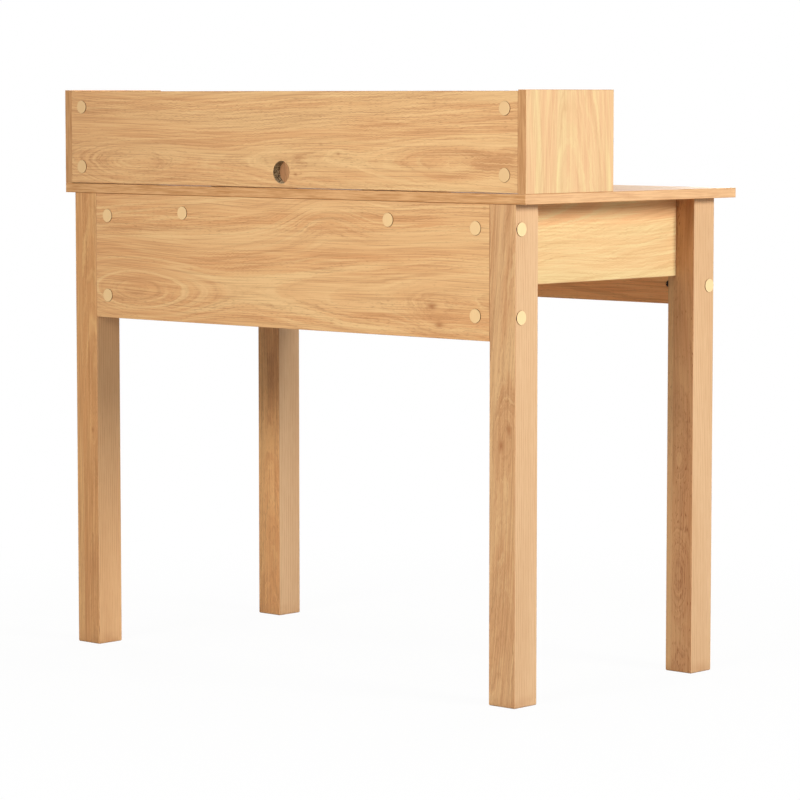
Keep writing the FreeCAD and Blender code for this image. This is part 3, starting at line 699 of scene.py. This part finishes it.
def cover_cap_foil():
    """Cream stick-on covers with a faint print along the grain and a darker cut edge. The caps on the rear
    faces are darker, and those on the hutch back darker still: painted shade. The cut edge is partly its own
    dark colour and partly painted shadow, the thin crescent that a raised cap casts.
    """
    material, bench, shader, point = start_material("cover_cap_foil")
    x, y, z = bench.split(point)
    panel_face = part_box("rear_panel")[1].y
    hutch_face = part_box("hutch_back")[1].y
    leg_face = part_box("leg_rear_right")[1].x
    cap_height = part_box("cover_caps")[1].y - hutch_face
    on_hutch = bench.math("GREATER_THAN", z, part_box("desktop")[1].z)
    rear_level = bench.math("MULTIPLY_ADD", on_hutch, hutch_face - panel_face,
                            panel_face + cap_height - CAP_TOP)
    top_rear = bench.math("GREATER_THAN", y, rear_level)
    top_side = bench.math("GREATER_THAN", bench.math("ABSOLUTE", x), leg_face + cap_height - CAP_TOP)
    top = bench.math("MAXIMUM", top_rear, top_side)

    print_lines = bench.level(bench.vector("MULTIPLY", point, CAP_PRINT_RATES), detail=2.0)
    speckle = bench.level(point, scale=CAP_SPECKLE_RATE, detail=2.0)
    # Cream on the side faces, and the darker rear and hutch colours on the rear faces: painted shade
    cream = bench.mix(top_rear, CAP_CREAM, bench.mix(on_hutch, CAP_REAR_PAINTED_SHADE, CAP_HUTCH_PAINTED_SHADE))
    colour = bench.mix(bench.fade(print_lines, 0.4, 0.75, to_high=0.20), cream, OAK_MID)
    colour = bench.mix(bench.fade(speckle, 0.6, 0.8, to_high=0.2), colour, OAK_PALE)
    # The cut edge is dark brown: partly its own colour, partly painted shadow of the raised cap
    bench.feed(shader.inputs["Base Color"], bench.mix(top, CAP_EDGE_AND_PAINTED_SHADOW, colour))
    cut_edge = bench.math("MULTIPLY", bench.math("SUBTRACT", 1.0, top), CAP_CUT_ROUGHNESS)
    roughness = bench.fade(speckle, 0.3, 0.7, to_low=0.42, to_high=0.5)
    bench.feed(shader.inputs["Roughness"], bench.math("MAXIMUM", roughness, cut_edge))
    shader.inputs["Specular IOR Level"].default_value = 0.35
    raise_surface(bench, shader, print_lines, depth=0.08 * MM, strength=0.4)
    return material


def mottled_metal(name, bright, dull, smoothest, roughest, patch):
    """Plated or cast metal with a soft mottle, whose patches are of the given size."""
    material, bench, shader, point = start_material(name)
    mottle = bench.level(point, scale=1 / patch, detail=4.0, roughness=0.6)
    grain = bench.level(point, scale=METAL_GRAIN_RATE, detail=1.0)
    bench.feed(shader.inputs["Base Color"], bench.mix(bench.fade(mottle, 0.35, 0.65), bright, dull))
    roughness = bench.fade(mottle, 0.3, 0.7, to_low=smoothest, to_high=roughest)
    bench.feed(shader.inputs["Roughness"], roughness)
    shader.inputs["Metallic"].default_value = 1.0
    raise_surface(bench, shader, grain, depth=0.03 * MM, strength=0.4)
    return material


# The rollers rub the enamel up to this far above and below their track
TRACK_START = 0.3 * MM
TRACK_END = 1.2 * MM
TRACK_SHADE = 0.7
TRACK_ROUGHNESS = 0.15


def enamelled_rail():
    """White powder enamel with a slight orange peel, rubbed grey where the rollers run."""
    material, bench, shader, point = start_material("enamelled_rails")
    peel = bench.level(point, scale=ENAMEL_PEEL_RATE, detail=2.0)
    streak = bench.level(bench.vector("MULTIPLY", point, ENAMEL_STREAK_RATES), detail=2.0)
    track_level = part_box("front_roller_left_outer")[0].z
    from_track = bench.math("ABSOLUTE", bench.math("SUBTRACT", bench.split(point)[2], track_level))
    track = bench.math("MULTIPLY", bench.fade(from_track, TRACK_END, TRACK_START),
                       bench.fade(streak, 0.35, 0.65))
    colour = bench.mix(bench.math("MULTIPLY", track, TRACK_SHADE), ENAMEL_WHITE, ENAMEL_RUB)
    roughness = bench.fade(peel, 0.3, 0.7, to_low=0.26, to_high=0.36)
    bench.feed(shader.inputs["Base Color"], colour)
    bench.feed(shader.inputs["Roughness"], bench.math("MULTIPLY_ADD", track, TRACK_ROUGHNESS, roughness))
    raise_surface(bench, shader, peel, depth=0.06 * MM, strength=0.35)
    return material


def moulded_nylon():
    """Milky white nylon, a little cloudy, as the rollers are moulded in."""
    material, bench, shader, point = start_material("nylon_rollers")
    cloudy = bench.level(point, scale=NYLON_CLOUD_RATE, detail=3.0)
    fine = bench.level(point, scale=NYLON_GRAIN_RATE, detail=1.0)
    colour = bench.mix(bench.fade(cloudy, 0.35, 0.7), NYLON_WHITE, NYLON_SHADE)
    bench.feed(shader.inputs["Base Color"], colour)
    bench.feed(shader.inputs["Roughness"], bench.fade(fine, 0.3, 0.7, to_low=0.34, to_high=0.46))
    shader.inputs["Subsurface Weight"].default_value = 0.08
    shader.inputs["Subsurface Radius"].default_value = (2 * MM, 2 * MM, 1.6 * MM)
    raise_surface(bench, shader, fine, depth=0.03 * MM, strength=0.3)
    return material


# Finishes of the boards. Places and sizes are in metres, along the grain, across it and through the board.

# The left apron and left hutch side are paler and yellower than the right end's boards: painted sheen of the
# brightly lit left end. The left apron's warm colour also paints the shade under the desktop.
LEFT_APRON_FOIL_PAINTED_SHEEN_AND_SHADE = dict(mid=screen_colour(213, 185, 134), warm=screen_colour(219, 170, 121),
                  pale=screen_colour(217, 197, 144), dark=screen_colour(192, 145, 95),
                  pore_share=0.14, warm_share=0.40, sheen=0.15)
LEFT_HUTCH_SIDE_FOIL_PAINTED_SHEEN = dict(mid=screen_colour(207, 178, 130), warm=screen_colour(208, 166, 123),
                      pale=screen_colour(213, 192, 138), dark=screen_colour(188, 143, 98), pore_share=0.06)
RIGHT_END_FOIL = dict(mid=screen_colour(218, 177, 124), warm=screen_colour(219, 167, 117),
                      pale=screen_colour(223, 191, 138), dark=screen_colour(190, 143, 95), pore_share=0.14)
# The front rail's foil is redder and darker: painted shade for its back face, which lies in deep shade under
# the desk. Its front tint takes that off the face towards the sitter.
RAIL_FOIL_PAINTED_SHADE = dict(mid=screen_colour(250, 180, 117), warm=screen_colour(243, 166, 104),
                 pale=screen_colour(247, 194, 130), dark=screen_colour(183, 118, 67),
                 front_tint=(0.74, 0.88, 0.98, 1.0))
HUTCH_BACK_FOIL = dict(mid=screen_colour(212, 169, 117), warm=screen_colour(209, 158, 106))
# The hutch sides' darker long edge strips are painted shade
PAINTED_SHADE_HUTCH_BAND = (PAINTED_SHADE_HUTCH_BAND_LIGHT, PAINTED_SHADE_HUTCH_BAND_DARK)
# Warmer and darker towards the right-hand end of the rear panel and the hutch back: painted shade, where the
# light falls off towards that end
RIGHT_HAND_PAINTED_SHADE = dict(blush=(0.85, 0, 0), blush_reach=(0.90, 1.0, 1.0))

BOARDS = {
    "desktop": dict(axes="XYZ", heart=(0, 0.03, -0.060), rise=0.060, swing=0.020, ring=0.010, sheen=0.05,
                    gloss=0.70, relief=0.12),
    "rear_panel": dict(axes="XZY", heart=(0, -0.040, -0.030), rise=0.075, swing=0.012, ring=0.008,
                       knot_one=(-0.307, -0.053, 0), knot_two=(-0.322, -0.080, 0), knot_size=0.0056,
                       burl_one=(-0.09, 0.080, 0), push_one=0.045,
                       burl_two=(0.33, -0.055, 0), push_two=0.070, burl_size=0.055, **RIGHT_HAND_PAINTED_SHADE),
    "hutch_back": dict(axes="XZY", heart=(0, -0.030, -0.020), rise=0.060, swing=0.008, ring=0.006,
                       knot_one=(-0.030, -0.053, 0), knot_two=(-0.120, -0.021, 0), knot_size=0.0026,
                       burl_one=(-0.34, -0.055, 0), push_one=0.010,
                       burl_two=(0.34, -0.045, 0), push_two=0.028, burl_size=0.042,
                       **RIGHT_HAND_PAINTED_SHADE, **HUTCH_BACK_FOIL),
    "hutch_shelf": dict(axes="XYZ", heart=(0, -0.02, -0.05), rise=0.05, swing=0.02, ring=0.009, sheen=0.05,
                        gloss=1.35),
    "front_rail": dict(axes="XZY", heart=(0, 0.01, 0.03), rise=0.05, swing=0.01, ring=0.007, **RAIL_FOIL_PAINTED_SHADE),
    # The left apron's warm patch along its top is painted shade under the desktop's overhang
    "side_apron_left": dict(axes="YZX", heart=(0, 0.12, 0.08), rise=-0.085, swing=0.014, ring=0.007,
                            blush=(0, 0.060, 0), blush_reach=(0.6, 0.052, 1.0), **LEFT_APRON_FOIL_PAINTED_SHEEN_AND_SHADE),
    "side_apron_right": dict(axes="YZX", heart=(0, 0.0, -0.05), rise=0.05, swing=0.015, ring=0.008,
                             **RIGHT_END_FOIL),
    "drawer_divider": dict(axes="YZX", heart=(0, 0.0, -0.05), rise=0.05, swing=0.015, ring=0.008),
    "hutch_side_left": dict(axes="ZYX", heart=(0, 0.01, 0.05), rise=0.10, swing=0.01, ring=0.007,
                            band=PAINTED_SHADE_HUTCH_BAND, **LEFT_HUTCH_SIDE_FOIL_PAINTED_SHEEN),
    "hutch_side_right": dict(axes="ZYX", heart=(0, -0.02, -0.05), rise=0.08, swing=0.01, ring=0.007,
                             band=PAINTED_SHADE_HUTCH_BAND, **RIGHT_END_FOIL),
    "hutch_divider_left": dict(axes="ZYX", heart=(0, 0.03, -0.04), rise=0.07, swing=0.01, ring=0.007),
    "hutch_divider_right": dict(axes="ZYX", heart=(0, -0.03, 0.04), rise=0.07, swing=0.01, ring=0.007),
}
for hand in ("left", "right"):
    drawer = "drawer_%s_" % hand
    BOARDS[drawer + "front"] = dict(axes="XZY", heart=(0, 0.01, 0.035), rise=0.06, swing=0.012, ring=0.008)
    BOARDS[drawer + "back"] = dict(axes="XZY", heart=(0, 0.0, -0.05), rise=0.05, swing=0.01, ring=0.007)
    for side in ("side_outer", "side_inner"):
        BOARDS[drawer + side] = dict(axes="YZX", heart=(0, 0.0, -0.05), rise=0.05, swing=0.01, ring=0.007)

# Each leg with its own tint, by which the tones that all legs share are multiplied. The tint is partly the
# leg's print and partly painted shade: darkest and warmest on the front left leg, whose rear face lies in
# shade under the desk.
LEG_TONES = dict(pale=(240, 195, 139), mid=(226, 175, 122), warm=(217, 160, 107), dark=(172, 117, 70))
LEGS = {
    "leg_rear_left": dict(tint=(0.893, 0.900, 0.905), heart=(0, -0.004, -0.060), rise=0.045, slant=0.07,
                          knot_one=(0.016, 0.002, 0), knot_two=(0.041, -0.013, 0), knot_size=0.0052),
    "leg_rear_right": dict(tint=(0.902, 0.872, 0.808), heart=(0, -0.006, -0.034), rise=0.040,
                           seam=0.009, paler=0.05, knot_one=(-0.017, -0.013, 0), knot_size=0.003,
                           # Its warmer comb colours paint the shade on the far rear leg's inner side
                           comb=(screen_colour(214, 170, 122), screen_colour(196, 147, 98))),
    "leg_front_left": dict(tint=(0.845, 0.797, 0.752), heart=(0, 0.002, -0.050), rise=0.045,
                           seam=0.014, paler=0.35, pore=screen_colour(140, 80, 36), pore_share=0.95,
                           burl_one=(-0.035, 0.002, 0), push_one=0.016,
                           burl_two=(-0.215, 0.000, 0), push_two=0.022, burl_size=0.017),
    "leg_front_right": dict(tint=(0.956, 0.931, 0.872), heart=(0, 0.004, -0.034), rise=0.040),
}

# The seeds choose each board's own stretch of the print
BOARD_SEED, BOARD_SEED_STEP = 1.0, 3.7
LEG_SEED, LEG_SEED_STEP = 131.0, 5.3
KNOB_SEED = 211.0


def dress(part, material):
    """Gives a CAD part its material in every slot that it has."""
    slots = desk_parts[part].material_slots
    if not slots:
        desk_parts[part].data.materials.append(material)
    for slot in slots:
        slot.link = "OBJECT"
        slot.material = material


for number, (part, figure) in enumerate(BOARDS.items()):
    dress(part, oak_foil(part, seed=BOARD_SEED + BOARD_SEED_STEP * number, **figure))
for number, (part, figure) in enumerate(LEGS.items()):
    tint = figure.pop("tint")
    tones = {}
    for tone, values in LEG_TONES.items():
        tones[tone] = screen_colour(*(value * share for value, share in zip(values, tint)))
    dress(part, oak_foil(part, "ZXY", seed=LEG_SEED + LEG_SEED_STEP * number, wrapped=True, swing=0.006,
                         ring=0.005, **tones, **figure))


# Finishes of the small parts

black_steel = mottled_metal("black_steel", STEEL_BLACK, STEEL_WORN, smoothest=0.42, roughest=0.58,
                            patch=3 * MM)
bright_zinc = mottled_metal("bright_zinc", ZINC_BRIGHT, ZINC_DULL, smoothest=0.24, roughest=0.38,
                            patch=6 * MM)
cast_zinc = mottled_metal("cast_zinc", CAST_GREY, CAST_DARK, smoothest=0.45, roughest=0.6,
                          patch=3 * MM)
beech = beech_wood()
hardboard = smooth_hardboard()
enamel = enamelled_rail()
nylon = moulded_nylon()
caps = cover_cap_foil()

for part in desk_parts:
    if part.endswith("_knob"):
        dress(part, turned_oak(part, seed=KNOB_SEED + len(part)))
    elif part.endswith("dowels"):
        dress(part, beech)
    elif part.endswith("_bottom"):
        dress(part, hardboard)
    elif "_rail_" in part:
        dress(part, enamel)
    elif "roller" in part:
        dress(part, nylon)
    elif part == "cover_caps":
        dress(part, caps)
    elif part == "cam_locks":
        dress(part, cast_zinc)
    elif part == "barrel_nuts":
        dress(part, black_steel)
    elif part.endswith(("screws", "bolts")):
        dress(part, bright_zinc)


# Floor and light

FLOOR_RADIUS = 14.0
FLOOR_GREY = screen_colour(212, 211, 208)
PURE_WHITE = (1.0, 1.0, 1.0, 1.0)

# For the camera the floor is partly white near the desk, where its shadow lies, and all white far from it
WHITE_NEAR_DESK = 0.95
NEAR_DESK = 0.4
FAR_FROM_DESK = 1.5

# The light on the desk, with the lamps' places and sizes in metres and their spread in degrees
WORLD_LEVEL = 0.09
DESK_MIDDLE = (0, 0, 0.5)
NEAR_TOP = (-0.45, 0.2, 0.85)
SOFTBOXES = {
    "top_softbox": dict(place=(0.0, 0.0, 3.4), aim=DESK_MIDDLE, width=2.4, height=2.4, watts=14),
    "rear_softbox": dict(place=(-0.6, 3.8, 2.3), aim=NEAR_TOP, width=1.8, height=1.2, watts=31, spread=80),
    "left_end_softbox": dict(place=(-3.9, -0.35, 2.05), aim=NEAR_TOP, width=1.4, height=1.2, watts=59.5,
                             spread=110),
    "front_softbox": dict(place=(0.9, -3.8, 1.7), aim=DESK_MIDDLE, width=2.4, height=1.8, watts=84),
    "right_end_softbox": dict(place=(3.9, -1.2, 1.8), aim=DESK_MIDDLE, width=2.0, height=1.8, watts=72),
}


def make_floor():
    """A plain pale floor that takes the desk's shadow, and fades to white away from it for the camera."""
    bpy.ops.mesh.primitive_circle_add(vertices=96, radius=FLOOR_RADIUS, fill_type="NGON", location=(0, 0, 0))
    floor = bpy.context.object
    floor.name = "floor"
    material, bench, shader, point = start_material("pale_floor")
    shader.inputs["Base Color"].default_value = FLOOR_GREY
    shader.inputs["Roughness"].default_value = 0.9
    shader.inputs["Specular IOR Level"].default_value = 0.1
    white = bench.add("ShaderNodeEmission", {"Color": PURE_WHITE, "Strength": 1.0})
    away = bench.fade(bench.vector("LENGTH", point), NEAR_DESK, FAR_FROM_DESK, to_low=WHITE_NEAR_DESK)
    light_path = bench.add("ShaderNodeLightPath")
    seen = bench.math("MULTIPLY", light_path.outputs["Is Camera Ray"], away)
    blend = bench.add("ShaderNodeMixShader", {0: seen, 1: shader.outputs[0], 2: white.outputs[0]})
    output = material.node_tree.nodes["Material Output"]
    bench.feed(output.inputs["Surface"], blend.outputs[0])
    floor.data.materials.append(material)


def make_world():
    """Even white surroundings for the camera and for glossy surfaces, and soft light at a plain level."""
    world = bpy.data.worlds.new("studio")
    bpy.context.scene.world = world
    world.use_nodes = True
    bench = ShaderBench(world.node_tree)
    background = world.node_tree.nodes["Background"]
    light_path = bench.add("ShaderNodeLightPath").outputs
    shown = bench.math("MAXIMUM", light_path["Is Glossy Ray"], light_path["Is Transmission Ray"])
    shown = bench.math("MAXIMUM", light_path["Is Camera Ray"], shown)
    bench.feed(background.inputs["Strength"], bench.fade(shown, 0.0, 1.0, to_low=WORLD_LEVEL))
    background.inputs["Color"].default_value = PURE_WHITE


def make_softbox(name, place, aim, width, height, watts, spread=180):
    """A rectangular lamp that points at its aim. Spread is in degrees, and narrows its beam."""
    lamp = bpy.data.lights.new(name, "AREA")
    lamp.shape = "RECTANGLE"
    lamp.size = width
    lamp.size_y = height
    lamp.energy = watts
    lamp.spread = math.radians(spread)
    softbox = bpy.data.objects.new(name, lamp)
    bpy.context.scene.collection.objects.link(softbox)
    softbox.location = place
    softbox.rotation_mode = "QUATERNION"
    softbox.rotation_quaternion = (Vector(aim) - Vector(place)).to_track_quat("-Z", "Y")


make_floor()
make_world()
for name, settings in SOFTBOXES.items():
    make_softbox(name, **settings)


# Camera, at the viewpoint of the photograph

CAMERA_AZIMUTH = math.radians(222.413)
CAMERA_PITCH = math.radians(5.047)
CAMERA_DISTANCE = 5.473839
CAMERA_ASIDE = 0.012873
CAMERA_AIM_HEIGHT = 0.408548
CAMERA_LENS = 154.725
SENSOR_WIDTH = 36.0


def make_camera():
    """Puts the camera back from the desk's middle and a little to the right, looking down by its pitch."""
    back = Vector((math.sin(CAMERA_AZIMUTH) * math.cos(CAMERA_PITCH),
                   -math.cos(CAMERA_AZIMUTH) * math.cos(CAMERA_PITCH),
                   math.sin(CAMERA_PITCH)))
    right = Vector((math.cos(CAMERA_AZIMUTH), math.sin(CAMERA_AZIMUTH), 0.0))
    camera = bpy.data.objects.new("camera", bpy.data.cameras.new("camera"))
    bpy.context.scene.collection.objects.link(camera)
    camera.data.lens = CAMERA_LENS
    camera.data.sensor_width = SENSOR_WIDTH
    camera.location = Vector((0, 0, CAMERA_AIM_HEIGHT)) + back * CAMERA_DISTANCE + right * CAMERA_ASIDE
    camera.rotation_mode = "QUATERNION"
    camera.rotation_quaternion = (-back).to_track_quat("-Z", "Y")
    bpy.context.scene.camera = camera


make_camera()
bpy.context.scene.view_settings.view_transform = "Standard"
